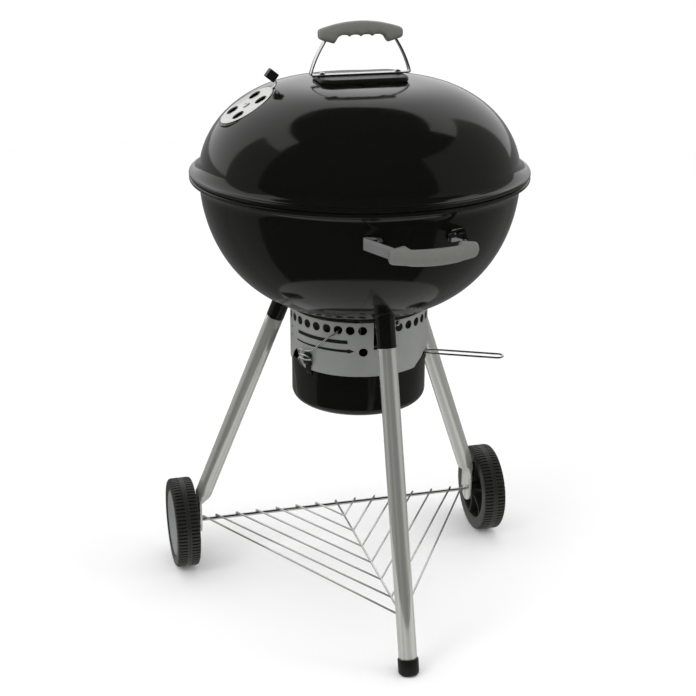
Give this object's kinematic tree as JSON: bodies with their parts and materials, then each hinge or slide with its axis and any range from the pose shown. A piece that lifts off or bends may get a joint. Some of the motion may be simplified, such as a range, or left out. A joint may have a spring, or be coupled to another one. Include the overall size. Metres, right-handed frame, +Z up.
{
  "type": "kettle charcoal grill",
  "caption": "Round black kettle grill on three tubular legs with wheels, a wire shelf, an ash pot under the bowl, a vented lid and grey grips.",
  "frame": {"origin": "middle of the underside of the bounding box, on the ground", "axes": "+Z up, front with the side handle towards -Y, wheels towards +Y, axle along X"},
  "size_m": [0.5706, 0.5742, 0.912],
  "materials": {
    "black_enamel": "gloss vitreous enamel",
    "grip_plastic": "satin moulded grey",
    "black_metal": "satin",
    "black_plastic": "satin",
    "chrome": "bright plated wire and strip",
    "bright_aluminium": "bright",
    "leg_tube": "polished",
    "satin_ring": "satin silver",
    "plain_steel": "plain",
    "wheel_plastic": "matte",
    "hub_cap_plastic": "satin grey"
  },
  "bodies": {
    "stand": {"bowl": "black_enamel", "leg_socket_front": "black_enamel", "leg_socket_rear_left": "black_enamel", "leg_socket_rear_right": "black_enamel", "leg_front": "leg_tube", "leg_rear_left": "leg_tube", "leg_rear_right": "leg_tube", "foot_cap": "black_plastic", "axle": "chrome", "shelf": "chrome", "ash_ring": "satin_ring", "ring_bracket": "black_metal", "ring_screw_left": "chrome", "ring_screw_right": "chrome", "side_handle_bracket_left": "chrome", "side_handle_bracket_right": "chrome", "side_handle_grip": "grip_plastic", "side_handle_bolt_left": "chrome", "side_handle_bolt_right": "chrome", "cooking_grate_tab_1": "black_enamel", "cooking_grate_tab_2": "black_enamel", "cooking_grate_tab_3": "black_enamel", "charcoal_grate_tab_1": "black_enamel", "charcoal_grate_tab_2": "black_enamel", "charcoal_grate_tab_3": "black_enamel"},
    "lid": {"lid": "black_enamel", "lid_hook": "chrome", "lid_heat_shield": "black_metal", "lid_handle_strap": "chrome", "lid_handle_grip": "grip_plastic", "lid_handle_bolt_left": "chrome", "lid_handle_bolt_right": "chrome", "lid_damper_rivet": "bright_aluminium"},
    "damper": {"lid_damper": "bright_aluminium", "lid_damper_tab": "black_plastic"},
    "cooking_grate": {"cooking_grate": "chrome"},
    "charcoal_grate": {"charcoal_grate": "plain_steel"},
    "sweeper": {"sweeper_shaft": "plain_steel", "sweeper_blade_1": "plain_steel", "sweeper_blade_2": "plain_steel", "sweeper_blade_3": "plain_steel", "sweeper_lever": "chrome", "sweeper_nut": "plain_steel"},
    "ash_pot": {"ash_pot": "black_enamel", "pot_catch_front": "black_metal", "pot_catch_rear": "black_metal"},
    "clip_front": {"pot_clip_front": "chrome"},
    "clip_rear": {"pot_clip_rear": "chrome"},
    "wheel_left": {"wheel_left": "wheel_plastic", "hub_cap_left": "hub_cap_plastic"},
    "wheel_right": {"wheel_right": "wheel_plastic", "hub_cap_right": "hub_cap_plastic"}
  },
  "joints": [
    {"name": "lid_lift", "type": "slide", "parent": "stand", "child": "lid", "axis": [0, 0, 1], "range_m": [0, 0.3]},
    {"name": "damper_turn", "type": "hinge", "parent": "lid", "child": "damper", "pos_m": [-0.17177, 0.03062, 0.80117], "axis": [-0.5235, -0.0091, 0.852], "range_deg": [0, 40]},
    {"name": "cooking_grate_lift", "type": "slide", "parent": "stand", "child": "cooking_grate", "axis": [0, 0, 1], "range_m": [0, 0.015]},
    {"name": "charcoal_grate_lift", "type": "slide", "parent": "stand", "child": "charcoal_grate", "axis": [0, 0, 1], "range_m": [0, 0.08]},
    {"name": "sweeper_turn", "type": "hinge", "parent": "stand", "child": "sweeper", "pos_m": [0, 0.03362, 0.41], "axis": [0, 0, 1], "range_deg": [0, 45]},
    {"name": "ash_pot_drop", "type": "slide", "parent": "stand", "child": "ash_pot", "axis": [0, 0, -1], "range_m": [0, 0.12]},
    {"name": "clip_front_swing", "type": "hinge", "parent": "stand", "child": "clip_front", "pos_m": [-0.05701, -0.05586, 0.4755], "axis": [0.5373, 0.8434, 0], "range_deg": [0, 35]},
    {"name": "clip_rear_swing", "type": "hinge", "parent": "stand", "child": "clip_rear", "pos_m": [-0.04899, 0.12773, 0.4755], "axis": [0.4617, -0.887, 0], "range_deg": [0, 35]},
    {"name": "wheel_left_roll", "type": "hinge", "parent": "stand", "child": "wheel_left", "pos_m": [-0.266, 0.17222, 0.0744], "axis": [1, 0, 0], "continuous": true},
    {"name": "wheel_right_roll", "type": "hinge", "parent": "stand", "child": "wheel_right", "pos_m": [0.266, 0.17222, 0.0744], "axis": [1, 0, 0], "continuous": true}
  ]
}
